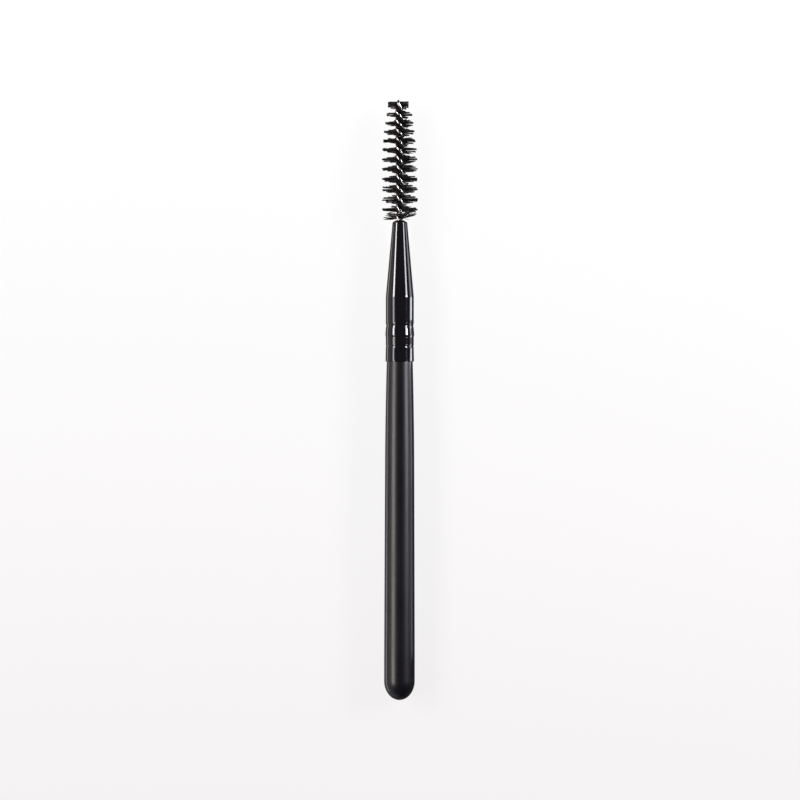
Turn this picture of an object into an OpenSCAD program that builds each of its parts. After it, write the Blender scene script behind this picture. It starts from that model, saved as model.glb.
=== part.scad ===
// Eyebrow brush: a twisted-wire brush held in a crimped ferrule on a slim turned handle.
// The brush lies on its handle and its bristles, with the bristle tip towards +Y.
// Each piece is drawn along its own axis, from the butt up, and then laid down by one move.

/* [Handle] */
// Diameter of the handle at its thickest, just ahead of the butt
handle_d = 7.66; // [6.8:0.02:10]
// Length of the handle that shows behind the ferrule
handle_len = 84.6; // [60:0.05:140]
// Length of the rounded butt
butt_len = 4.8; // [3:0.1:8]
// Length of the straight stretch ahead of the butt
parallel_len = 6.2; // [2:0.1:15]
// Diameter of the handle where its neck begins
neck_d = 7.32; // [6.8:0.01:8]
// Length of the curved neck behind the ferrule
neck_len = 27; // [10:0.5:45]
// Height of the shoulder that the ferrule is pushed up to
shoulder = 0.09; // [0.03:0.005:0.2]
// Distance from the end of the tenon to the start of the ferrule's nose
tenon_short = 1.2; // [0.5:0.1:3]
// Bevel on the end of the tenon
tenon_bevel = 0.5; // [0.2:0.1:1]

/* [Ferrule] */
// Length of the ferrule's barrel
barrel_len = 16.15; // [13:0.05:30]
// Length of the tapered nose
nose_len = 19.2; // [17:0.05:30]
// Outer diameter of the barrel
barrel_d = 7; // [6.6:0.01:8]
// Thickness of the ferrule's wall
wall = 0.32; // [0.25:0.01:0.4]
// Diameter of the nose at its front edge
nose_d = 3.68; // [3.4:0.02:4.4]
// Length of the sloping end face of the nose
nose_face = 0.55; // [0.4:0.05:0.8]
// Radius of the rounded front edge
nose_round = 0.4; // [0.3:0.05:0.6]
// Distance from the rear edge to the narrow rear groove
rear_groove = 3.86; // [3:0.01:5]
// Width of the rear groove
rear_groove_w = 0.7; // [0.4:0.1:1.4]
// Distance from the rear groove to the wide front groove
groove_gap = 5.1; // [4.2:0.1:6]
// Width of the front groove
front_groove_w = 1.4; // [0.8:0.1:1.6]
// Depth of both grooves
groove_depth = 0.09; // [0.05:0.01:0.25]
// Distance from the rear groove to the crest of the collar between the grooves
crest_gap = 2.8; // [1.8:0.1:3]
// Height of the crest above the barrel
crest_rise = 0.11; // [0.02:0.01:0.2]
// Length over which the crest falls away towards the rear groove
crest_fall = 1; // [0.5:0.1:1.2]
// Width of the rolled lip at the rear edge
lip_w = 0.6; // [0.3:0.1:2]
// Height of the rolled lip
lip_rise = 0.04; // [0.01:0.01:0.1]

/* [Wire] */
// Diameter of the wire
wire_d = 0.85; // [0.6:0.05:1]
// Thickness of glue between the fold of the wire and the tenon
fold_cover = 2.8; // [0.5:0.1:8]
// Radius of the fold, measured to the middle of the wire
fold_r = 0.6; // [0.5:0.05:0.8]
// Length over which the fold closes up into the twist
fold_lead = 3; // [2:0.5:5]
// Length of bare wire between the ferrule and the bristles
bare_len = 0.6; // [0.6:0.1:4]
// Length of bare wire past the last bristles
stub_len = 0.4; // [0.2:0.1:2]
// Length of one full turn of the twist next to the ferrule
base_pitch = 5.6; // [4.5:0.1:7]
// Length of one full turn of the twist at the tip
tip_pitch = 4.1; // [3.6:0.1:6]
// Length of the last stretch, where the cut ends of the twist have sprung open
spring_len = 2.2; // [1:0.1:4]
// Share of the twist that is lost at the cut ends
spring_back = 0.9; // [0:0.05:0.9]
// Direction of the first bristles, where 90 is straight down
start_angle = 121; // [0:1:180]

/* [Bristles] */
// Length of the bristled head
head_len = 29; // [18:0.2:36]
// Diameter of the head over its full part
head_d = 9.1; // [7.6:0.1:14]
// Diameter of the head at its tip
tip_d = 5.5; // [4:0.1:8]
// Length of the head's taper
taper_len = 15; // [8:0.5:18]
// Diameter of a filament
filament_d = 0.15; // [0.15:0.01:0.25]
// How far the first filaments lean towards the tip at their ends
lean = 0.8; // [0.2:0.1:1.2]
// How far filament ends stray along the brush
stray = 0.3; // [0:0.05:0.4]
// How far filament ends gather into clumps, in degrees
clump = 5; // [0:0.5:6]

/* [Clearances] */
// Play between pieces that fit together
fit = 0.02; // [0.01:0.01:0.04]
// Play between the wire and the filaments, the ferrule and the glue
wire_play = 0.05; // [0.03:0.01:0.1]

/* [Hidden] */
$fn = 96;

// Places along the brush, measured from the butt
cone_start = handle_len + barrel_len;
nose_end = cone_start + nose_len;
nose_edge = nose_end - nose_face;
tenon_end = cone_start - tenon_short;
head_start = nose_end + bare_len;
head_end = head_start + head_len;
wire_end = head_end + stub_len;
rear_groove_at = handle_len + rear_groove;
front_groove_at = rear_groove_at + groove_gap;
crest_at = rear_groove_at + crest_gap;

// Radii that follow from the diameters
handle_r = handle_d / 2;
neck_r = neck_d / 2;
barrel_r = barrel_d / 2;
nose_r = nose_d / 2;
tenon_r = barrel_r - wall - fit;
front_r = tenon_r + shoulder;
wire_r = wire_d / 2;
shank_r = wire_r + fit / 2;
gripped_r = wire_r + filament_d / 2 + wire_play;
nose_hole_r = shank_r + wire_r + wire_play;
fold_pocket_r = fold_r + wire_r + wire_play;
fold_at = tenon_end + fit + fold_cover + fold_pocket_r;

// Fineness of the curves
butt_steps = 12;
neck_steps = 12;
groove_steps = 8;
nose_steps = 8;
head_rings = 96;
shank_rings = 30;
fold_rings = 7;
wire_sides = 8;

// Handle: how far its taper narrows for each millimetre, and its radius along the neck
taper_start = butt_len + parallel_len;
neck_start = handle_len - neck_len;
taper_rate = (handle_r - neck_r) / (neck_start - taper_start);
function neck_radius(u) = neck_r - taper_rate * neck_len * u
    - (neck_r - front_r - taper_rate * neck_len) * u * u;

// Ferrule: outer radius of the rolled barrel at a distance s from the butt
function ease(u) = u <= 0 ? 0 : u >= 1 ? 1 : u * u * (3 - 2 * u);
function dip(s, at, width) =
    abs(s - at) < width / 2 ? groove_depth * (1 + cos(360 * (s - at) / width)) / 2 : 0;
crest_front = front_groove_at - front_groove_w / 2;
function crest(s) = s >= crest_front ? 0
    : s >= crest_at ? crest_rise * (crest_front - s) / (crest_front - crest_at)
    : crest_rise * (1 - ease((crest_at - s) / crest_fall));
function lip(s) = s < handle_len + lip_w ? lip_rise * sin(180 * (s - handle_len) / lip_w) : 0;
function barrel_radius(s) = barrel_r + crest(s) + lip(s)
    - dip(s, rear_groove_at, rear_groove_w) - dip(s, front_groove_at, front_groove_w);

// Nose: the straight side from the barrel to the front edge, and the face from there in to the hole
nose_line = [[barrel_r, cone_start], [nose_r, nose_edge], [nose_hole_r, nose_end]];
function outward(a, b) = [(b - a)[1], -(b - a)[0]] / norm(b - a);
side_out = outward(nose_line[0], nose_line[1]);
face_out = outward(nose_line[1], nose_line[2]);
function edge_inset(depth) = nose_line[1] - depth * (side_out + face_out) / (1 + side_out * face_out);
function mouth_inset(depth) = [nose_hole_r, nose_end - depth / face_out[1]];

// Stations along the barrel: close together where it curves and none where it is straight
function spread(from, to, steps) = [for (i = [0:steps]) from + (to - from) * i / steps];
rolled_stations = concat(
    spread(rear_groove_at - rear_groove_w / 2, rear_groove_at + rear_groove_w / 2, groove_steps),
    spread(crest_at - crest_fall, crest_at, groove_steps),
    spread(crest_front, front_groove_at + front_groove_w / 2, groove_steps));
barrel_stations = concat(spread(handle_len, handle_len + lip_w, groove_steps), rolled_stations, [cone_start]);

// Twist: direction of the filaments at a distance s from the butt, in degrees, left-handed
base_rate = 360 / base_pitch;
tip_rate = 360 / tip_pitch;
function head_turn(u) = base_rate * u + (u > 0 ? (tip_rate - base_rate) * u * u / (2 * head_len) : 0);
function lead_loss(s) = s < fold_at + fold_lead
    ? base_rate * (fold_at + fold_lead - s) * (fold_at + fold_lead - s) / (2 * fold_lead) : 0;
function spring_loss(s) = s > head_end - spring_len
    ? spring_back * tip_rate * pow(s - head_end + spring_len, 2) / (2 * spring_len) : 0;
function twist(s) = start_angle - head_turn(s - head_start) - lead_loss(s) + spring_loss(s);

// Wire: distance from the axis to the middle of each strand
function strand_radius(s) = shank_r
    + (gripped_r - shank_r) * ease((s - nose_end) / bare_len)
    + (fold_r - shank_r) * (1 - ease((s - fold_at) / fold_lead));

// Envelope of the head: full at the base, then rounding off to the tip
taper_power = 1.5;
function envelope(s) = head_d / 2 - (head_d - tip_d) / 2
    * pow(max(0, (s - head_end + taper_len) / taper_len), taper_power);

// Filaments: as many as fit side by side, each with a bend and two ends that stray a little
filament_count = floor(head_len / filament_d);
filament_gap = head_len / filament_count;
grip_w = 0.9 * wire_r; // how far from the axis they stay packed together
bend_r = 1.8; // distance from the axis to the bend
slimming = 0.8; // width of a filament past its root, as a share of its spacing
uneven = 0.04; // how much the filaments differ in length, as a share of the envelope
clump_size = 6; // filaments in a clump
lean_reach = 0.8; // how far the lean reaches into the head
square_reach = 1.5; // how far the square-cut tip reaches into the head
scatter_along = rands(-1, 1, 2 * filament_count, 11);
scatter_long = rands(-1, 1, 2 * filament_count, 23);

function filament_s(i) = head_start + (i + 0.5) * filament_gap;
function tip_s(i, side) = filament_s(i) + stray * scatter_along[2 * i + side]
    * ease((filament_s(i) - head_start) / lean_reach) * ease((head_end - filament_s(i)) / square_reach)
    + lean * exp(-(filament_s(i) - head_start) / lean_reach);
function tip_angle(i, side) = twist(filament_s(i)) + 180 * side
    + clump * sin(360 * (i + side * clump_size / 2) / clump_size);
function tip_radius(i, side) = envelope(filament_s(i)) * (1 - uneven / 2
    + uneven / 2 * scatter_long[2 * i + side]);

// Rest: the brush lies on the rear end of the handle's straight stretch and on its lowest filament
rest_tilt = max([for (i = [0:filament_count - 1]) for (side = [0, 1])
    atan2(tip_radius(i, side) * sin(tip_angle(i, side)) + filament_d / 2 - handle_r,
        tip_s(i, side) - butt_len)]);
rest_height = handle_r * cos(rest_tilt) - butt_len * sin(rest_tilt);

module laid() {
    translate([0, -wire_end / 2, rest_height])
        rotate([rest_tilt - 90, 0, 0])
            children();
}

// Turned handle: rounded butt, straight stretch, slow taper, curved neck and grooved tenon
module handle() {
    butt = [for (i = [0:butt_steps]) let (a = 90 * i / butt_steps)
        [handle_r * sin(a), butt_len * (1 - cos(a))]];
    neck = [for (i = [0:neck_steps]) let (u = i / neck_steps)
        [neck_radius(u), neck_start + (handle_len - fit - neck_start) * u]];
    tenon = [for (s = rolled_stations) [min(barrel_r, barrel_radius(s)) - wall - fit, s]];
    color("#1c1920") laid() rotate_extrude()
        polygon(concat(
            butt,
            [[handle_r, taper_start]],
            neck,
            [[tenon_r, handle_len - fit]],
            tenon,
            [[tenon_r, tenon_end - tenon_bevel], [tenon_r - tenon_bevel, tenon_end], [0, tenon_end]]));
}

// Drawn ferrule: one wall that follows the rolled barrel, the cone and the closed-in nose
module ferrule() {
    barrel = [for (s = barrel_stations) [barrel_radius(s), s]];
    side_a = atan2(side_out[1], side_out[0]);
    face_a = atan2(face_out[1], face_out[0]);
    edge = [for (i = [0:nose_steps]) let (a = side_a + (face_a - side_a) * i / nose_steps)
        edge_inset(nose_round) + nose_round * [cos(a), sin(a)]];
    inner_barrel = [for (i = [len(barrel) - 1:-1:0]) [barrel[i][0] - wall, barrel[i][1]]];
    color("#15131a") laid() rotate_extrude()
        polygon(concat(barrel, edge, [mouth_inset(0), mouth_inset(wall), edge_inset(wall)], inner_barrel));
}

// Glue plug: fills the nose ahead of the tenon and leaves a pocket for the folded wire
module adhesive() {
    back = tenon_end + fit;
    color("#c9b27a") laid() rotate_extrude()
        polygon([[0, back], [tenon_r, back], [tenon_r, cone_start],
            edge_inset(wall + fit), mouth_inset(wall + fit),
            [nose_hole_r, fold_at + fold_lead], [fold_pocket_r, fold_at + fold_lead],
            [fold_pocket_r, fold_at - fold_pocket_r], [0, fold_at - fold_pocket_r]]);
}

// A tube with a ring of corners round each point of a path; each point comes with its outward normal
module tube(path, radius, sides) {
    last = len(path) - 1;
    function ahead(i) = path[min(i + 1, last)][0] - path[max(i - 1, 0)][0];
    function unit(v) = v / norm(v);
    corners = [for (i = [0:last])
        let (along = unit(ahead(i)),
            outward = unit(path[i][1] - along * (path[i][1] * along)),
            across = cross(along, outward))
        for (k = [0:sides - 1]) let (a = 360 * k / sides)
            path[i][0] + radius * (outward * cos(a) + across * sin(a))];
    walls = [for (i = [0:last - 1]) for (k = [0:sides - 1])
        let (a = i * sides + k, b = i * sides + (k + 1) % sides)
        each [[a, a + sides, b], [b, a + sides, b + sides]]];
    ends = [[for (k = [0:sides - 1]) k],
        [for (k = [sides - 1:-1:0]) last * sides + k]];
    polyhedron(corners, concat(walls, ends), convexity = 10);
}

// Twisted wire: down one strand, round the fold and up the other strand
module wire_core() {
    function strand_point(s, half) =
        let (a = twist(s) + 90 + 180 * half, r = strand_radius(s))
        [[r * cos(a), r * sin(a), s], [cos(a), sin(a), 0]];
    function fold_point(b) =
        let (a = twist(fold_at) + 90, side = [cos(a), sin(a), 0], out = side * cos(b) - [0, 0, sin(b)])
        [[0, 0, fold_at] + fold_r * out, out];
    strand = concat(spread(wire_end, nose_end, head_rings),
        [for (i = [1:shank_rings - 1]) nose_end - (nose_end - fold_at) * i / shank_rings]);
    path = concat(
        [for (s = strand) strand_point(s, 0)],
        [for (i = [0:fold_rings]) fold_point(180 * i / fold_rings)],
        [for (i = [len(strand) - 1:-1:0]) strand_point(strand[i], 1)]);
    color("silver") laid() tube(path, wire_r, wire_sides);
}

// Filaments: side by side where the wire grips them, then fanned out by the twist to the head's envelope
module bristles() {
    half = filament_d / 2;
    function flat_dir(a) = [cos(a), sin(a), 0];
    // Four corners of a filament's section, at a radius, a direction and a place along the brush
    function section(r, a, s, long) =
        let (mid = r * flat_dir(a) + [0, 0, s], across = half * flat_dir(a + 90), along = [0, 0, long / 2])
        [mid + across - along, mid - across - along, mid - across + along, mid + across + along];
    // Filament ends: a ring at the bend and a ring at the tip, on both sides of the axis
    function end_rings(i, side) = concat(
        section(bend_r, twist(filament_s(i)) + 180 * side, filament_s(i), slimming * filament_gap),
        section(tip_radius(i, side), tip_angle(i, side), tip_s(i, side), slimming * filament_gap));
    // Corners of the gripped layer between filament i - 1 and filament i
    function seam(i) =
        let (s = head_start + i * filament_gap, out = grip_w * flat_dir(twist(s)),
            across = half * flat_dir(twist(s) + 90), up = [0, 0, s])
        [up + out + across, up + out - across, up - out - across, up - out + across];
    corners = concat(
        [for (i = [0:filament_count]) each seam(i)],
        [for (i = [0:filament_count - 1]) for (side = [0, 1]) each end_rings(i, side)]);
    first_end = 4 * (filament_count + 1);
    function quad(a, b, c, d) = [[a, b, c], [a, c, d]];
    // Walls from one ring of four corners to the next
    function sleeve(low, high) = [for (k = [0:3]) let (n = (k + 1) % 4)
        each quad(low[k], low[n], high[n], high[k])];
    function ring(first) = [first, first + 1, first + 2, first + 3];
    function root(i, side) = side == 0
        ? [4 * i, 4 * i + 1, 4 * i + 5, 4 * i + 4]
        : [4 * i + 2, 4 * i + 3, 4 * i + 7, 4 * i + 6];
    function end_faces(i, side) =
        let (bend = first_end + 16 * i + 8 * side, tip = bend + 4)
        concat(sleeve(root(i, side), ring(bend)), sleeve(ring(bend), ring(tip)),
            quad(tip, tip + 1, tip + 2, tip + 3));
    layer = [for (i = [0:filament_count - 1]) each concat(
        quad(4 * i, 4 * i + 4, 4 * i + 7, 4 * i + 3),
        quad(4 * i + 2, 4 * i + 6, 4 * i + 5, 4 * i + 1))];
    top = 4 * filament_count;
    closing = concat(quad(3, 2, 1, 0), quad(top, top + 1, top + 2, top + 3));
    ends = [for (i = [0:filament_count - 1]) for (side = [0, 1]) each end_faces(i, side)];
    color("#101012") laid() polyhedron(corners, concat(layer, closing, ends), convexity = 20);
}

handle();
ferrule();
wire_core();
bristles();
adhesive();
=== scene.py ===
"""An eyebrow brush lying on a pale studio floor, seen from straight above.

Every piece is drawn in millimetres along the brush's own axis, as (x, y, s): s runs from the butt of the
handle to the cut ends of the wire, and y points down when the brush lies at rest. One move, laid(), puts it
in the row frame, which is in metres.
"""

import math

import bpy
import numpy as np
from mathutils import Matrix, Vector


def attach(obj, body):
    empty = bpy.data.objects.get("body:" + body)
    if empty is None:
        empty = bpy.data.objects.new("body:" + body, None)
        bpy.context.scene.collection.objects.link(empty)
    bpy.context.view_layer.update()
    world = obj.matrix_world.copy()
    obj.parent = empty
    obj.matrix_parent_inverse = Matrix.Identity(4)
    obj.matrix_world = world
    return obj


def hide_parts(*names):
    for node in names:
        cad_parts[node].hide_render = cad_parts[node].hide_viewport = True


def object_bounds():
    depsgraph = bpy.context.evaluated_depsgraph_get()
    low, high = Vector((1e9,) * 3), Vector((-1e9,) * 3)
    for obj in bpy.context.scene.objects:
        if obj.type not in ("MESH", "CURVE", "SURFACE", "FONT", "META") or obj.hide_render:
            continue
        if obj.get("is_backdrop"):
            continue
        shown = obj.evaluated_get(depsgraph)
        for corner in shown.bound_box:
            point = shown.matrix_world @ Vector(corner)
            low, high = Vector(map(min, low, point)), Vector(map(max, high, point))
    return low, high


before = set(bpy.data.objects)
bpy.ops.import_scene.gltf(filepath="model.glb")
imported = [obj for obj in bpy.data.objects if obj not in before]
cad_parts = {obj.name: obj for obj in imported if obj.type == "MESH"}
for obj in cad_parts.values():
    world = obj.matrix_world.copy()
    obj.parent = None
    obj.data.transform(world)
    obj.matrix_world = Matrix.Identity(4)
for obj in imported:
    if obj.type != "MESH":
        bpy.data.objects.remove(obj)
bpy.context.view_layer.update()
mm = 0.001

# Sizes in millimetres, the same as in the part's source
handle_r, handle_len, butt_len, taper_start = 3.83, 84.6, 4.8, 11.0
neck_r, neck_start, front_r = 3.66, 57.6, 3.25
tenon_r, tenon_end, tenon_bevel = 3.16, 99.55, 0.5
barrel_r, cone_start, nose_end = 3.5, 100.75, 119.95
wall, nose_r, nose_edge, nose_round, nose_hole_r = 0.32, 1.84, 119.4, 0.4, 0.91
rear_groove_at, rear_groove_w, rear_groove_depth = 88.46, 0.7, 0.09
front_groove_at, front_groove_w = 93.56, 1.4
crest_at, crest_rise, fit = 91.26, 0.11, 0.02
wire_r, shank_r, gripped_r, fold_r = 0.425, 0.435, 0.55, 0.6
fold_at, fold_lead = 103.445, 3.0
head_start, head_len, wire_end = 120.55, 29.0, 149.95
head_end = head_start + head_len
base_pitch, tip_pitch, spring_len, spring_back, start_angle = 5.6, 4.1, 2.2, 0.9, 121.0
head_r, tip_r, taper_len = 4.55, 2.75, 15.0

# Finer forms of the ferrule, which the source draws a little softer
front_groove_depth, crest_fall, flare_w, flare_rise = 0.12, 0.65, 3.6, 0.06
ferrule_edge, handle_edge = 0.07, 0.03

# Finer forms of the wire: the bow of the head, and the two cut ends, one above the other
bow_left = 0.25
high_end, low_end = 0.03, 0.5
pinch_len, pinch_share = 0.9, 0.5
# Painted shade at the two cut ends of the wire: how far from each end it is painted dark, and the length over
# which that fades
end_shade_len, end_shade_fade = 0.85, 0.3
cut_round = 0.05

# The filaments: thickness, the crowd at the foot of the head, and the square cut at its tip
filament_count, filament_r, filament_sides = 1600, 0.05, 5
crowd, crowd_spots, crowd_start, crowd_len = 80, 55, -0.25, 1.15
foot_reach, foot_lean, foot_gap = 0.8, 1.3, 0.15
clump_least, clump_most = 10, 26
square_len, square_fade, square_left, square_right = 1.9, 1.5, 2.8, 2.4

# How far the filaments may reach to the sides, so that they stay inside the solids
room_right, room_left = 4.49, 4.48

# At rest the brush lies on the rear of the handle's straight stretch and on its lowest filament
rest_tilt, rest_height = math.radians(0.367751), 3.79911


def laid(points):
    """(x, y, s) in mm to the row frame in metres: tipped up by the rest tilt t, with the middle at Y = 0.
    X = x;  Y = s cos t + y sin t - half the length;  Z = rest height - y cos t + s sin t."""
    x, y, s = np.moveaxis(np.asarray(points, float), -1, 0)
    c, t = math.cos(rest_tilt), math.sin(rest_tilt)
    return np.stack([x, s * c + y * t - wire_end / 2, rest_height - y * c + s * t], -1) * mm


def bow(s):
    """How far the head bows to the left of the axis: bow_left u to the power of 1.5, where u runs from 0 at
    the nose of the ferrule to 1 at the tip."""
    return bow_left * (np.clip(s - nose_end, 0, None) / (wire_end - nose_end)) ** 1.5


def ease(u):
    """0 before u = 0, 1 after u = 1, and u squared times (3 - 2u) between them."""
    u = np.clip(u, 0, 1)
    return u * u * (3 - 2 * u)


# Finishes

def linear(code):
    """An sRGB hex value as linear red, green, blue and alpha."""
    c = np.array([int(code[i:i + 2], 16) / 255 for i in (1, 3, 5)])
    return (*np.where(c <= 0.04045, c / 12.92, ((c + 0.055) / 1.055) ** 2.4), 1.0)


def add(tree, kind, sockets=(), stops=(), **settings):
    """Adds a node to a tree. A socket takes either a plain value or the output of another node, and a colour
    ramp takes its stops, each a place from 0 to 1 and a colour."""
    made = tree.nodes.new(kind)
    for name, value in settings.items():
        setattr(made, name, value)
    for number, (place, colour) in enumerate(stops):
        ramp = made.color_ramp.elements
        stop = ramp[0] if number == 0 else ramp[-1] if number == len(stops) - 1 else ramp.new(place)
        stop.position, stop.color = place, colour
    for name, value in dict(sockets).items():
        if isinstance(value, bpy.types.NodeSocket):
            tree.links.new(value, made.inputs[name])
        else:
            made.inputs[name].default_value = value
    return made


def greys(levels, blue=1.0):
    """Stops for a colour ramp over a range of values: levels gives a grey level for each value, from the
    lowest to the highest, and blue is the strength of its blue against its red and green."""
    low, high = min(levels), max(levels)
    return [((at - low) / (high - low), (level, level, min(level * blue, 1.0), 1.0))
            for at, level in levels.items()]


def finish(name, build):
    """A material whose surface is a Principled shader; build(tree, shader) sets it and adds its patterns."""
    material = bpy.data.materials.new(name)
    material.use_nodes = True
    tree = material.node_tree
    build(tree, tree.nodes["Principled BSDF"])
    return material


def plain(shader, **values):
    """Sets sockets that are the same all over the surface."""
    for name, value in values.items():
        shader.inputs[name.replace("_", " ")].default_value = value


def satin_lacquer(tree, shader):
    """Satin black lacquer, sprayed on a turned handle: a soft broad sheen over a very dark, slightly violet
    ground, and sharper reflections where it is seen at a low angle. The sprayed film has a faint orange peel
    about 0.9 mm across, and is a little uneven along the handle, over about 12 mm."""
    plain(shader, IOR=1.43)
    place = add(tree, "ShaderNodeTexCoord").outputs["Object"]
    cloud = add(tree, "ShaderNodeTexNoise", {"Vector": place, "Scale": 1 / (12 * mm), "Detail": 2.0})
    ground = add(tree, "ShaderNodeMix", {"Factor": cloud.outputs["Fac"], "A": linear("#08060c"),
                                         "B": linear("#0c0a12")}, data_type="RGBA")
    tree.links.new(ground.outputs["Result"], shader.inputs["Base Color"])
    sheen = add(tree, "ShaderNodeMapRange", {"Value": cloud.outputs["Fac"], "From Min": 0.3,
                                             "From Max": 0.7, "To Min": 0.33, "To Max": 0.38})
    facing = add(tree, "ShaderNodeLayerWeight", {"Blend": 0.5}).outputs["Facing"]
    low_angle = add(tree, "ShaderNodeMapRange", {"Value": facing, "From Min": 0.3, "From Max": 0.55,
                                                 "To Min": 1.0, "To Max": 0.4})
    rough = add(tree, "ShaderNodeMath", {0: sheen.outputs["Result"], 1: low_angle.outputs["Result"]},
                operation="MULTIPLY")
    tree.links.new(rough.outputs[0], shader.inputs["Roughness"])
    peel = add(tree, "ShaderNodeTexNoise", {"Vector": place, "Scale": 1 / (0.9 * mm), "Detail": 1.0})
    bump = add(tree, "ShaderNodeBump", {"Height": peel.outputs["Fac"], "Strength": 0.25,
                                        "Distance": 0.02 * mm})
    tree.links.new(bump.outputs["Normal"], shader.inputs["Normal"])


def gloss_enamel(tree, shader):
    """Gloss black enamel, stoved on drawn aluminium: mirror-like, with crisp reflections of the lamps.
    Under the enamel the drawn tube is a little wavy, by waves about 3 mm long round it and 5 mm along it."""
    plain(shader, IOR=1.52, Roughness=0.07)
    place = add(tree, "ShaderNodeTexCoord").outputs["Object"]
    cloud = add(tree, "ShaderNodeTexNoise", {"Vector": place, "Scale": 1 / (4 * mm), "Detail": 2.0})
    ground = add(tree, "ShaderNodeMix", {"Factor": cloud.outputs["Fac"], "A": linear("#0b090e"),
                                         "B": linear("#0e0c12")}, data_type="RGBA")
    tree.links.new(ground.outputs["Result"], shader.inputs["Base Color"])
    stretched = add(tree, "ShaderNodeMapping", {"Vector": place, "Scale": (1.0, 0.6, 1.0)})
    wave = add(tree, "ShaderNodeTexNoise", {"Vector": stretched.outputs["Vector"], "Scale": 1 / (3 * mm),
                                            "Detail": 1.0})
    bump = add(tree, "ShaderNodeBump", {"Height": wave.outputs["Fac"], "Strength": 0.35,
                                        "Distance": 0.02 * mm})
    tree.links.new(bump.outputs["Normal"], shader.inputs["Normal"])


def drawn_steel(tree, shader):
    """Bright drawn steel wire, galvanised: a clean metal with fine die lines that run along the wire, eight
    to each length of its radius, so about 0.05 mm apart. Near its sheared ends it is painted dark brown, as
    painted shade, and is rougher."""
    plain(shader, Metallic=1.0)
    lay = add(tree, "ShaderNodeAttribute", attribute_name="wire_lay").outputs["Vector"]
    lines = add(tree, "ShaderNodeTexNoise", {"Vector": lay, "Scale": 8.0, "Detail": 2.0})
    tone = add(tree, "ShaderNodeMix", {"Factor": lines.outputs["Fac"], "A": linear("#9c9792"),
                                       "B": linear("#cac5bf")}, data_type="RGBA")
    # Painted shade: a mask that paints the wire dark brown near its cut ends
    cut = add(tree, "ShaderNodeAttribute", attribute_name="wire_cut").outputs["Fac"]
    whole = add(tree, "ShaderNodeMix", {"Factor": cut, "A": tone.outputs["Result"],
                                        "B": linear("#2b211f")}, data_type="RGBA")
    tree.links.new(whole.outputs["Result"], shader.inputs["Base Color"])
    rough = add(tree, "ShaderNodeMapRange", {"Value": lines.outputs["Fac"], "From Min": 0.3,
                                             "From Max": 0.7, "To Min": 0.18, "To Max": 0.32})
    dull = add(tree, "ShaderNodeMix", {"Factor": cut, "A": rough.outputs["Result"], "B": 0.75},
               data_type="FLOAT")
    tree.links.new(dull.outputs["Result"], shader.inputs["Roughness"])


def black_nylon(tree, shader):
    """Black nylon monofilament: extruded and cut, with a waxy sheen along each fibre. Each fibre differs a
    little in how dark and how waxy it is."""
    plain(shader, IOR=1.53, Specular_IOR_Level=0.28)
    fibre = add(tree, "ShaderNodeAttribute", attribute_name="fibre_tone").outputs["Fac"]
    tone = add(tree, "ShaderNodeMix", {"Factor": fibre, "A": linear("#050406"), "B": linear("#0f0d12")},
               data_type="RGBA")
    tree.links.new(tone.outputs["Result"], shader.inputs["Base Color"])
    rough = add(tree, "ShaderNodeMapRange", {"Value": fibre, "To Min": 0.4, "To Max": 0.6})
    tree.links.new(rough.outputs["Result"], shader.inputs["Roughness"])


def set_epoxy(tree, shader):
    """Cured epoxy glue: amber, smooth, and slightly uneven over about 1.5 mm where it set in the ferrule."""
    plain(shader, IOR=1.55)
    place = add(tree, "ShaderNodeTexCoord").outputs["Object"]
    cloud = add(tree, "ShaderNodeTexNoise", {"Vector": place, "Scale": 1 / (1.5 * mm), "Detail": 3.0})
    tone = add(tree, "ShaderNodeMix", {"Factor": cloud.outputs["Fac"], "A": linear("#a98f55"),
                                       "B": linear("#cdb884")}, data_type="RGBA")
    tree.links.new(tone.outputs["Result"], shader.inputs["Base Color"])
    rough = add(tree, "ShaderNodeMapRange", {"Value": cloud.outputs["Fac"], "To Min": 0.15, "To Max": 0.35})
    tree.links.new(rough.outputs["Result"], shader.inputs["Roughness"])
    bump = add(tree, "ShaderNodeBump", {"Height": cloud.outputs["Fac"], "Strength": 0.5,
                                        "Distance": 0.05 * mm})
    tree.links.new(bump.outputs["Normal"], shader.inputs["Normal"])


# Shapes

def skin(rings, sides, closed=False):
    """Quads between each ring of corners and the next, and from the last ring to the first if closed."""
    i = np.arange(rings if closed else rings - 1)[:, None]
    k = np.arange(sides)[None, :]
    ahead, beside = (i + 1) % rings, (k + 1) % sides
    corners = [i * sides + k, i * sides + beside, ahead * sides + beside, ahead * sides + k]
    return np.stack(corners, -1).reshape(-1, 4)


def turned(profile, sides=144):
    """A surface of revolution: a point (r, s) of the profile goes round the axis to (r cos a, r sin a, s).
    A profile that starts and ends on the axis is closed there by one corner at each pole; any other is a
    loop."""
    profile = np.asarray(profile, float)
    poles = profile[0, 0] == 0
    r, s = (profile[1:-1] if poles else profile).T
    a = np.linspace(0, 2 * np.pi, sides, endpoint=False)
    rounds = [np.outer(r, np.cos(a)), np.outer(r, np.sin(a)), np.outer(s, np.ones(sides))]
    points = np.stack(rounds, -1).reshape(-1, 3)
    faces = skin(len(r), sides, closed=not poles).tolist()
    if poles:
        first = np.arange(sides)
        last = (len(r) - 1) * sides + first
        start, end = np.full(sides, len(points)), np.full(sides, len(points) + 1)
        faces += np.stack([start, np.roll(first, -1), first], -1).tolist()
        faces += np.stack([end, last, np.roll(last, -1)], -1).tolist()
        points = np.vstack([points, [[0, 0, profile[0, 1]], [0, 0, profile[-1, 1]]]])
    return points, faces


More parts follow.
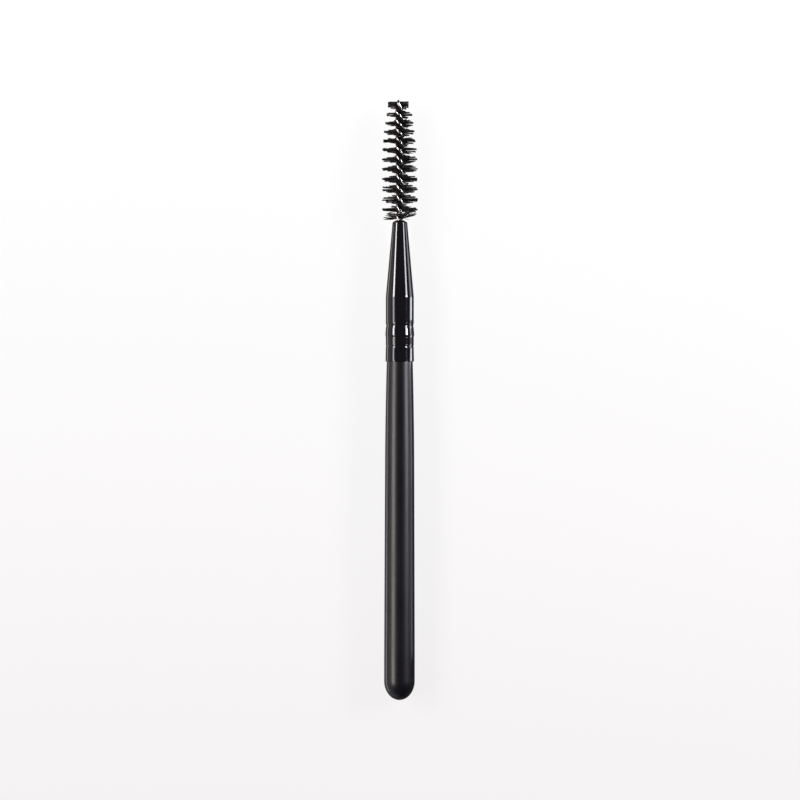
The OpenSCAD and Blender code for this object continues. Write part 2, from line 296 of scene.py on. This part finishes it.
def fillet(before, at, after, radius, steps):
    """Rounds a corner of a profile with an arc that touches the straight sides before and after it. The arc
    goes from one touching point to the other, as centre + (sin((1 - k) A) first + sin(k A) last) / sin A."""
    before, at, after = (np.asarray(point, float) for point in (before, at, after))
    u, v = (side / np.linalg.norm(side) for side in (before - at, after - at))
    half = math.acos(u @ v) / 2
    centre = at + (u + v) / np.linalg.norm(u + v) * radius / math.sin(half)
    first, last = (at + side * radius / math.tan(half) - centre for side in (u, v))
    turn, k = math.pi - 2 * half, np.linspace(0, 1, steps + 1)[:, None]
    return centre + (np.sin((1 - k) * turn) * first + np.sin(k * turn) * last) / math.sin(turn)


def line(start, end, steps):
    """Evenly spaced points of a profile from start to end, without the end."""
    return np.linspace(start, end, steps, endpoint=False)


def swept(path, outward, radius, sides):
    """A round tube along a path, closed at both ends: each corner lies at path + radius (out cos a + across
    sin a), where out is the outward direction made square to the path, and across is square to both."""
    along = np.gradient(path, axis=0)
    along /= np.linalg.norm(along, axis=1, keepdims=True)
    out = outward - along * (outward * along).sum(1, keepdims=True)
    out /= np.linalg.norm(out, axis=1, keepdims=True)
    across = np.cross(along, out)
    a = np.linspace(0, 2 * np.pi, sides, endpoint=False)[None, :, None]
    ring = out[:, None] * np.cos(a) + across[:, None] * np.sin(a)
    points = (path[:, None] + radius[:, None, None] * ring).reshape(-1, 3)
    faces = skin(len(path), sides).tolist()
    faces += [list(range(sides))[::-1], list(range((len(path) - 1) * sides, len(path) * sides))]
    return points, faces


def strands(paths, radius, sides, end_share=0.8):
    """Many thin tubes at once, one along each path, closed at both ends and narrower there by end_share: each
    corner lies at path + radius (across cos b + up sin b), with across square to the path and to the axis."""
    along = np.gradient(paths, axis=1)
    along /= np.linalg.norm(along, axis=2, keepdims=True)
    across = np.cross(along, [0.0, 0.0, 1.0])
    across /= np.linalg.norm(across, axis=2, keepdims=True)
    up = np.cross(along, across)
    count, rings = paths.shape[:2]
    thick = radius * np.concatenate([[end_share], np.ones(rings - 2), [end_share]])[None, :, None, None]
    b = np.linspace(0, 2 * np.pi, sides, endpoint=False)[:, None]
    points = paths[:, :, None] + thick * (across[:, :, None] * np.cos(b) + up[:, :, None] * np.sin(b))
    first = (np.arange(count) * rings * sides)[:, None, None]
    walls = (skin(rings, sides)[None] + first).reshape(-1, 4)
    k = np.arange(sides)
    caps = (np.stack([k[::-1], (rings - 1) * sides + k])[None] + first).reshape(-1, sides)
    return points.reshape(-1, 3), walls.tolist() + caps.tolist()


# Handle and ferrule

def dip(s, at, width, depth):
    """A groove of one cosine wave: depth (1 + cos(360 (s - at) / width)) / 2 inside its width."""
    return np.where(abs(s - at) < width / 2, depth * (1 + np.cos(2 * np.pi * (s - at) / width)) / 2, 0)


def barrel_radius(s):
    """Radius of the rolled barrel: a cylinder that flares a little to its rear edge, with a narrow and a wide
    groove, and between them a collar that rises in a straight line from the wide groove to its crest and then
    falls away."""
    crest_front = front_groove_at - front_groove_w / 2
    rise = crest_rise * (crest_front - s) / (crest_front - crest_at)
    fall = crest_rise * (1 - ease((crest_at - s) / crest_fall))
    crest = np.where(s >= crest_front, 0, np.where(s >= crest_at, rise, fall))
    flare = flare_rise * ease((handle_len + flare_w - s) / flare_w)
    return (barrel_r + crest + flare - dip(s, rear_groove_at, rear_groove_w, rear_groove_depth)
            - dip(s, front_groove_at, front_groove_w, front_groove_depth))


def turned_handle():
    """Profile of the handle: a quarter of an ellipse for the butt, a straight stretch, a slow straight taper,
    a neck that narrows by a square law, and the tenon under the ferrule, which follows its grooves."""
    a = np.radians(np.linspace(0, 90, 33)[1:-1])
    butt = np.stack([handle_r * np.sin(a), butt_len * (1 - np.cos(a))], -1)
    straight = line((handle_r, butt_len), (handle_r, taper_start), 8)
    taper = line((handle_r, taper_start), (neck_r, neck_start), 40)
    rate = (handle_r - neck_r) / (neck_start - taper_start)
    front = handle_len - fit
    u = np.linspace(0, 1, 60, endpoint=False)
    narrowing = rate * (handle_len - neck_start)
    neck = np.stack([neck_r - narrowing * u - (neck_r - front_r - narrowing) * u * u,
                     neck_start + (front - neck_start) * u], -1)
    shoulder = fillet((front_r, front - 1), (front_r, front), (0, front), handle_edge, 4)
    step, tenon_front = 0.1, cone_start - 1.9
    s = np.arange(handle_len + step, tenon_front, step)
    tenon = np.stack([np.minimum(barrel_r, barrel_radius(s)) - wall - fit, s], -1)
    end = [[tenon_r, tenon_end - tenon_bevel], [tenon_r - tenon_bevel, tenon_end], [0, tenon_end]]
    return np.vstack([[[0, 0]], butt, straight, taper, neck, shoulder, tenon, end])


def drawn_ferrule():
    """Profile of the ferrule's wall: up the rolled barrel and the straight cone, round the front edge and
    over the sloping face to the hole for the wire, and back down inside, one wall thickness in. Its edges are
    rounded."""
    start, corner, mouth = (barrel_r, cone_start), (nose_r, nose_edge), (nose_hole_r, nose_end)
    side, face = np.subtract(corner, start), np.subtract(mouth, corner)
    side_out, face_out = (np.array([d[1], -d[0]]) / math.hypot(*d) for d in (side, face))
    inner_corner = corner - wall * (side_out + face_out) / (1 + side_out @ face_out)
    inner_mouth = (nose_hole_r, nose_end - wall / face_out[1])
    s = np.linspace(handle_len + ferrule_edge, cone_start, 240, endpoint=False)
    barrel = np.stack([barrel_radius(s), s], -1)
    rounded = fillet(start, corner, mouth, nose_round, 20)
    cone = line(start, rounded[0], 40)
    lip = fillet(corner, mouth, inner_mouth, ferrule_edge, 5)
    inside = np.vstack([line(inner_mouth, inner_corner, 4),
                        line(inner_corner, (barrel_r - wall, cone_start), 20)])
    s = np.linspace(cone_start, handle_len + ferrule_edge, 90)
    tube = np.stack([barrel_radius(s) - wall, s], -1)
    r = barrel_radius(np.array(handle_len))
    rear_in, rear_out = (r - wall, handle_len), (r, handle_len)
    rear = np.vstack([fillet((r - wall, handle_len + 1), rear_in, rear_out, ferrule_edge, 5),
                      fillet(rear_in, rear_out, (r, handle_len + 1), ferrule_edge, 5)[:-1]])
    return np.vstack([barrel, cone, rounded, lip, inside, tube, rear])


# Wire

def twist(s):
    """Direction of the filaments in radians at a place along the brush. The turn tightens evenly from
    base_pitch to tip_pitch, is lost little by little where the wire folds, and springs open at the cut
    ends."""
    base, tip = 360 / base_pitch, 360 / tip_pitch
    u = s - head_start
    turn = base * u + np.where(u > 0, (tip - base) * u * u / (2 * head_len), 0)
    lead = np.where(s < fold_at + fold_lead, base * (fold_at + fold_lead - s) ** 2 / (2 * fold_lead), 0)
    spring = np.where(s > head_end - spring_len,
                      spring_back * tip * (s - head_end + spring_len) ** 2 / (2 * spring_len), 0)
    return np.radians(start_angle - turn - lead + spring)


def strand_radius(s):
    """Distance of a strand's middle from the axis: close in the ferrule, and wider over the filaments and at
    the fold."""
    grip, fold = ease((s - nose_end) / (head_start - nose_end)), 1 - ease((s - fold_at) / fold_lead)
    return shank_r + (gripped_r - shank_r) * grip + (fold_r - shank_r) * fold


def wire_strand(half, top, rounding):
    """Middle line and outward direction of one strand, from its cut end to the fold: a helix, s to
    (R cos a, R sin a, s) with a = twist(s) plus 90 degrees, and half a turn more for the second half."""
    s = np.concatenate([top - cut_round * rounding, np.linspace(top - 2 * cut_round, nose_end, 300),
                        np.linspace(nose_end, fold_at, 80)[1:-1]])
    a, r = twist(s) + math.pi / 2 + math.pi * half, strand_radius(s)
    outward = np.stack([np.cos(a), np.sin(a), 0 * s], -1)
    return np.stack([r * np.cos(a) - bow(s), r * np.sin(a), s], -1), outward


def twisted_wire(sides=20):
    """One wire folded in two and twisted: two strands that follow the bow of the head, joined by a half
    circle at the fold. The cut ends are pinched to pinch_share over pinch_len, painted dark over
    end_shade_len as painted shade, and rounded at the edge, in three steps of an arc. The lay of the die
    lines is (cos a, sin a) round the wire and 0.04 for each millimetre along it, which draws them out."""
    rounding = np.array([0, 0.13, 0.5, 1])
    down, down_out = wire_strand(0, wire_end - high_end, rounding)
    up, up_out = wire_strand(1, wire_end - low_end, rounding)
    a, b = twist(np.array(fold_at)) + math.pi / 2, np.linspace(0, math.pi, 25)[:, None]
    out = np.array([[math.cos(a), math.sin(a), 0]]) * np.cos(b) - np.array([[0, 0, 1]]) * np.sin(b)
    path = np.vstack([down, out * fold_r + [0, 0, fold_at], up[::-1]])
    outward = np.vstack([down_out, out, up_out[::-1]])
    length = np.concatenate([[0], np.cumsum(np.linalg.norm(np.diff(path, axis=0), axis=1))])
    nearest = np.minimum(length, length[-1] - length)
    radius = wire_r * (pinch_share + (1 - pinch_share) * ease(nearest / pinch_len))
    radius[:4] -= cut_round * rounding[::-1]
    radius[-4:] -= cut_round * rounding
    points, faces = swept(path, outward, radius, sides)
    a = np.linspace(0, 2 * np.pi, sides, endpoint=False)[None]
    lay = np.stack(np.broadcast_arrays(np.cos(a), np.sin(a), length[:, None] * 0.04), -1).reshape(-1, 3)
    # Painted shade: near each cut end the wire is painted dark, fading out further along
    end_shade_mask = np.repeat(ease((end_shade_len - nearest) / end_shade_fade), sides)
    return points, faces, {"wire_lay": lay, "wire_cut": end_shade_mask}


# Filaments

def envelope(s):
    """Radius of the head: full at the base, and rounding off over taper_len to the tip by a power of 1.5."""
    return head_r - (head_r - tip_r) * np.clip((s - head_end + taper_len) / taper_len, 0, None) ** 1.5


def crossings(rng):
    """Where each filament crosses the axis: evenly along the head, each shifted at random by up to 0.35 of
    the spacing. The first ones stand crowded at its foot instead, in crowd_spots places, closer towards the
    foot by a power of 1.3."""
    even = np.arange(filament_count) + 0.5 + 0.35 * rng.uniform(-1, 1, filament_count)
    s = head_start + head_len * even / filament_count
    spots = np.resize(rng.uniform(0, 1, crowd_spots), crowd)
    s[:crowd] = head_start + crowd_start + crowd_len * spots ** 1.3
    return np.sort(s)


def gather(rng, count):
    """Splits a row of filaments into clumps of a random size, and gives the number of each one's clump."""
    sizes = rng.integers(clump_least, clump_most + 1, count)
    return np.searchsorted(np.cumsum(sizes), np.arange(count), side="right")


def reach_of(s, end_a, end_s, short):
    """How far each filament reaches from the axis: to the head's outline, less what it is short of, and to a
    square cut at the tip, never past the solids at the sides, and never through the floor."""
    flat, down, steep = np.cos(end_a), np.sin(end_a), 0.7
    sideways = np.maximum(abs(flat), steep)
    square = np.minimum(envelope(s), np.where(flat > 0, square_right, square_left) / sideways)
    reach = np.where(s > head_end - square_len, square * (1 - 0.4 * short), envelope(s) * (0.995 - short))
    room = np.where(flat > 0, room_right, room_left - bow(end_s)) / sideways
    reach = np.where(abs(flat) > steep, np.minimum(reach, room), reach)
    drop = np.maximum(down, 0.5) * math.cos(rest_tilt)
    above_floor = (rest_height + end_s * math.sin(rest_tilt) - filament_r) / drop
    return np.where(down > 0.5, np.minimum(reach, above_floor), reach)


def fanned_arms(rng, side, s0, a0, level):
    """The middle line of one arm of each filament, from its end in to the wire. The point at the share t of
    the reach R lies at the radius t R, and bends off by t squared in direction and place: towards the middle
    of its clump, and by a little of its own. At a distance u from the start of the head, a share
    exp(-u / foot_reach) of each spreads sideways and leans towards the tip. In the grip, filaments lie side
    by side at their own level, which is lost towards the end."""
    t = np.array([1.0, 0.94, 0.74, 0.5, 0.28, 0.11])
    count, half_turn = len(s0), math.pi * side
    clump = gather(rng, count)
    total, clumps = np.maximum(np.bincount(clump), 1), clump.max() + 1
    middle_s, middle_a = (np.bincount(clump, v)[clump] / total[clump] for v in (s0, a0))
    foot = np.exp(-(s0 - head_start) / foot_reach)
    spread = ease((head_end - s0) / square_fade)

    pull = np.minimum(rng.uniform(0.5, 0.95, clumps)[clump] + 0.2 * foot, 0.95)
    short = rng.uniform(0.0, 0.02, clumps)[clump]
    short = short + np.clip(np.abs(rng.normal(0, 0.015 + 0.12 * foot)), 0, 0.3)
    swing = rng.normal(0, 0.06, clumps)[clump] + rng.normal(0, 0.05 + 0.1 * foot, count)
    stray = (rng.normal(0, 0.10, clumps)[clump] + rng.normal(0, 0.10, count)) * spread

    end_a = a0 + pull * (middle_a - a0) + swing
    end_a += 0.5 * foot * (np.round(end_a / math.pi) * math.pi - end_a)
    sag = 0.25 * np.cos(end_a + half_turn)
    stray += (rng.normal(-0.35, 0.65, clumps)[clump] + sag + rng.normal(0, 0.3, count)) * foot
    leaned = foot_lean * foot * (0.3 + 0.7 * abs(np.cos(end_a)))
    end_s = np.clip(s0 + pull * spread * (middle_s - s0) + stray + leaned, nose_end + foot_gap, head_end)
    reach = reach_of(s0, end_a + half_turn, end_s, short)

    wave, phase = rng.normal(0, 0.05, (count, 1)), rng.uniform(0, 2 * np.pi, (count, 1))
    ripple = wave * np.sin(2 * np.pi * t + phase) * t * (1 - t) * 2
    a = a0[:, None] + half_turn + (end_a - a0)[:, None] * t ** 2
    s = s0[:, None] + (end_s - s0)[:, None] * t ** 2 + ripple
    r = reach[:, None] * t
    lift = (level * (1 - 2 * side))[:, None] * (1 - t)
    return np.stack([r * np.cos(a) - lift * np.sin(a) - bow(s), r * np.sin(a) + lift * np.cos(a), s], -1)


def nylon_filaments():
    """Filaments gripped between the two strands of the wire and fanned out by its twist: each crosses the
    axis in the direction twist(s), as two arms that meet in the wire, and has a random tone."""
    rng = np.random.default_rng(3)
    s0 = crossings(rng)
    a0 = twist(s0)
    level = rng.uniform(-0.075, 0.075, filament_count)
    arms = [fanned_arms(rng, side, s0, a0, level) for side in (0, 1)]
    paths = np.concatenate([arms[0], arms[1][:, ::-1]], 1)
    points, faces = strands(paths, filament_r, filament_sides)
    tone = np.repeat(rng.uniform(0, 1, filament_count) ** 1.5, paths.shape[1] * filament_sides)
    return points, faces, {"fibre_tone": tone}


# Pieces

def make_piece(name, shape, material, node):
    """A smooth mesh of a shape in mm along the brush, which is points, faces and perhaps values for each
    point. It rides on the body and stands for a CAD node."""
    points, faces, *marks = shape
    mesh = bpy.data.meshes.new(name)
    mesh.from_pydata(laid(points).tolist(), [], faces)
    for label, values in (marks[0] if marks else {}).items():
        kind, part = ("FLOAT", "value") if values.ndim == 1 else ("FLOAT_VECTOR", "vector")
        layer = mesh.attributes.new(label, kind, "POINT")
        layer.data.foreach_set(part, values.astype(np.float32).ravel())
    mesh.shade_smooth()
    mesh.materials.append(material)
    made = bpy.data.objects.new(name, mesh)
    bpy.context.scene.collection.objects.link(made)
    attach(made, "root")
    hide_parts(node)


lacquer = finish("satin_black_lacquer", satin_lacquer)
enamel = finish("gloss_black_enamel", gloss_enamel)
steel = finish("drawn_galvanised_steel", drawn_steel)
nylon = finish("black_nylon_monofilament", black_nylon)
epoxy = finish("cured_epoxy", set_epoxy)

make_piece("lacquered_handle", turned(turned_handle()), lacquer, "handle")
make_piece("enamelled_ferrule", turned(drawn_ferrule()), enamel, "ferrule")
make_piece("twisted_wire", twisted_wire(), steel, "wire_core")
make_piece("nylon_filaments", nylon_filaments(), nylon, "bristles")
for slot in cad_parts["adhesive"].material_slots:
    slot.material = epoxy


# Studio, in metres

warm_white, soft_white, plain_white = "#fff6ee", "#fffaf5", "#fffdfb"
cool_white, blue_white = "#f7f6ff", "#eef0ff"
glow_share = 0.92
floor_half = 3.0


def studio_floor():
    """A pale floor. To the camera, most of its colour is a plain paper white that fades from the far end to
    the near end of the brush, and the rest is lit, so that it keeps the shadow. Gloss and glass see mostly a
    painted reflection on it: pale on the left with a painted bright band, painted shade beside the brush, and
    nearly black on the right, a painted black strip where no card lies."""
    material = bpy.data.materials.new("pale_studio_paper")
    material.use_nodes = True
    tree = material.node_tree
    tree.nodes.clear()
    place = add(tree, "ShaderNodeTexCoord").outputs["Object"]
    apart = add(tree, "ShaderNodeSeparateXYZ", {"Vector": place})
    fade = add(tree, "ShaderNodeMapRange", {"Value": apart.outputs["Y"], "From Min": -0.1, "From Max": 0.1})
    tone = add(tree, "ShaderNodeMix", {"Factor": fade.outputs["Result"], "A": linear("#f2f0f1"),
                                       "B": linear("#fefefe")}, data_type="RGBA")
    beside = add(tree, "ShaderNodeMapRange", {"Value": apart.outputs["X"], "From Min": -0.1,
                                              "From Max": 0.1})
    # Painted reflection for gloss and glass, as grey levels across the floor in metres: a painted bright band
    # on the left, painted shade beside the brush, and a painted black strip on the right
    levels = {-0.1: 0.6, -0.04: 0.45, -0.024: 0.23, -0.0165: 0.24, -0.015: 1.0, -0.011: 1.0,
              -0.0095: 0.25, -0.006: 0.2, 0.0: 0.1, 0.003: 0.03, 0.1: 0.03}
    painted_reflection_ramp = add(tree, "ShaderNodeValToRGB", {"Fac": beside.outputs["Result"]}, stops=greys(levels))
    path = add(tree, "ShaderNodeLightPath").outputs
    mirrored = add(tree, "ShaderNodeMath", {0: path["Is Glossy Ray"], 1: path["Is Transmission Ray"]},
                   operation="MAXIMUM")
    seen = add(tree, "ShaderNodeMath", {0: path["Is Camera Ray"], 1: mirrored.outputs[0]},
               operation="MAXIMUM")
    share = add(tree, "ShaderNodeMath", {0: seen.outputs[0], 1: glow_share}, operation="MULTIPLY")
    shown = add(tree, "ShaderNodeMix", {"Factor": mirrored.outputs[0], "A": tone.outputs["Result"],
                                        "B": painted_reflection_ramp.outputs["Color"]}, data_type="RGBA")
    lit = add(tree, "ShaderNodeBsdfDiffuse", {"Color": tone.outputs["Result"]})
    glow = add(tree, "ShaderNodeEmission", {"Color": shown.outputs["Result"], "Strength": 1.0})
    both = add(tree, "ShaderNodeMixShader", {0: share.outputs[0], 1: lit.outputs[0], 2: glow.outputs[0]})
    add(tree, "ShaderNodeOutputMaterial", {"Surface": both.outputs[0]})
    mesh = bpy.data.meshes.new("studio_floor")
    corners = [(-1, -1), (1, -1), (1, 1), (-1, 1)]
    mesh.from_pydata([(x * floor_half, y * floor_half, 0) for x, y in corners], [], [(0, 1, 2, 3)])
    mesh.materials.append(material)
    floor = bpy.data.objects.new("studio_floor", mesh)
    bpy.context.scene.collection.objects.link(floor)
    floor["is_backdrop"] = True


def surroundings():
    """The studio round the brush, by direction about its length in degrees: 0 is overhead, minus is left and
    plus is right. It is dark overhead, where the camera hangs, and on the right, pale low down on the left,
    and a little blue."""
    world = bpy.data.worlds.new("studio")
    world.use_nodes = True
    tree = world.node_tree
    tree.nodes.clear()
    way = add(tree, "ShaderNodeTexCoord").outputs["Generated"]
    apart = add(tree, "ShaderNodeSeparateXYZ", {"Vector": way})
    angle = add(tree, "ShaderNodeMath", {0: apart.outputs["X"], 1: apart.outputs["Z"]}, operation="ARCTAN2")
    turn = add(tree, "ShaderNodeMapRange", {"Value": angle.outputs[0], "From Min": -math.pi,
                                            "From Max": math.pi})
    levels = {-180: 0.8, -90: 0.7, -75: 0.55, -62: 0.22, -35: 0.066, 30: 0.066, 75: 0.036, 88: 0.05,
              92: 0.5, 180: 0.8}
    sky = add(tree, "ShaderNodeValToRGB", {"Fac": turn.outputs["Result"]}, stops=greys(levels, blue=1.12))
    back = add(tree, "ShaderNodeBackground", {"Color": sky.outputs["Color"], "Strength": 1.0})
    add(tree, "ShaderNodeOutputWorld", {"Surface": back.outputs[0]})
    bpy.context.scene.world = world


def panel(name, middle, turn, width, low, high, radiance, tint):
    """A flat lamp parallel to the brush: middle is its place in X and Z, turn is how far it is turned round Y
    from facing down, and low and high are its ends along Y. Its power is radiance times its area times pi."""
    lamp = bpy.data.lights.new(name, "AREA")
    lamp.shape = "RECTANGLE"
    lamp.size, lamp.size_y = width, high - low
    lamp.energy = radiance * width * (high - low) * math.pi
    lamp.color = linear(tint)[:3]
    made = bpy.data.objects.new(name, lamp)
    made.location = (middle[0], (low + high) / 2, middle[1])
    made.rotation_euler = (0, turn, 0)
    bpy.context.scene.collection.objects.link(made)


def softbox(name, from_above, away, width, low, high, radiance, tint):
    """A strip lamp that faces the brush from a distance away, in a direction in degrees from straight up, to
    the right if positive."""
    a = math.radians(from_above)
    panel(name, (away * math.sin(a), away * math.cos(a)), a, width, low, high, radiance, tint)


def light_table(name, left, right, low, high, radiance, tint):
    """A lamp that lies on the floor beside the brush, between two distances to its right, and faces up."""
    panel(name, ((left + right) / 2, 1 * mm), math.pi, right - left, low, high, radiance, tint)


def studio_camera():
    """Straight above the middle of the brush, where frame_width fills the frame at the height of its axis. It
    is moved and turned a hair, as the photo is."""
    frame_width, axis_height = 0.2, 0.0038
    camera = bpy.data.cameras.new("camera")
    camera.sensor_width, camera.lens = 36.0, 216.0
    camera.clip_start, camera.clip_end = 0.01, 20.0
    made = bpy.data.objects.new("camera", camera)
    height = frame_width * camera.lens / camera.sensor_width + axis_height
    made.location = (0.075 * mm, 0.03 * mm, height)
    made.rotation_euler = (0.0, 0.0, 0.001)
    bpy.context.scene.collection.objects.link(made)
    bpy.context.scene.camera = made


studio_floor()
surroundings()

# Strips on stands: direction, distance, width, ends along the brush, radiance and tint
softbox("left_far", -52, 1.0, 0.23, 0.12, 0.70, 24.0, soft_white)
softbox("left_middle", -53, 1.0, 0.22, 0.013, 0.12, 7.8, soft_white)
softbox("left_near", -48, 1.0, 0.30, -0.32, 0.013, 13.0, warm_white)
softbox("right_wire", 58, 0.5, 0.12, 0.22, 0.60, 24.0, plain_white)
softbox("right_far", 58, 0.5, 0.12, 0.10, 0.22, 15.0, plain_white)
softbox("right_near", 58, 0.5, 0.12, 0.05, 0.10, 50.0, cool_white)
softbox("right_handle", 58, 0.25, 0.06, -0.02, 0.006, 17.0, cool_white)

# Light tables on the floor: one on the left, and on the right a row of them from far to near
light_table("table_left", -0.015, -0.011, -0.08, 0.045, 2.6, warm_white)
row = {"far": 3.3, "cone": 10.5, "collar": 1.5, "rear": 10.5, "near": 2.4, "handle": 1.6}
ends = [0.052, 0.0265, 0.0202, 0.0134, 0.0095, -0.02, -0.065]
for (part, radiance), high, low in zip(row.items(), ends, ends[1:]):
    light_table("table_" + part, 0.013, 0.093, low, high, radiance, blue_white)

studio_camera()
bpy.context.scene.view_settings.view_transform = "Standard"

low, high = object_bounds()
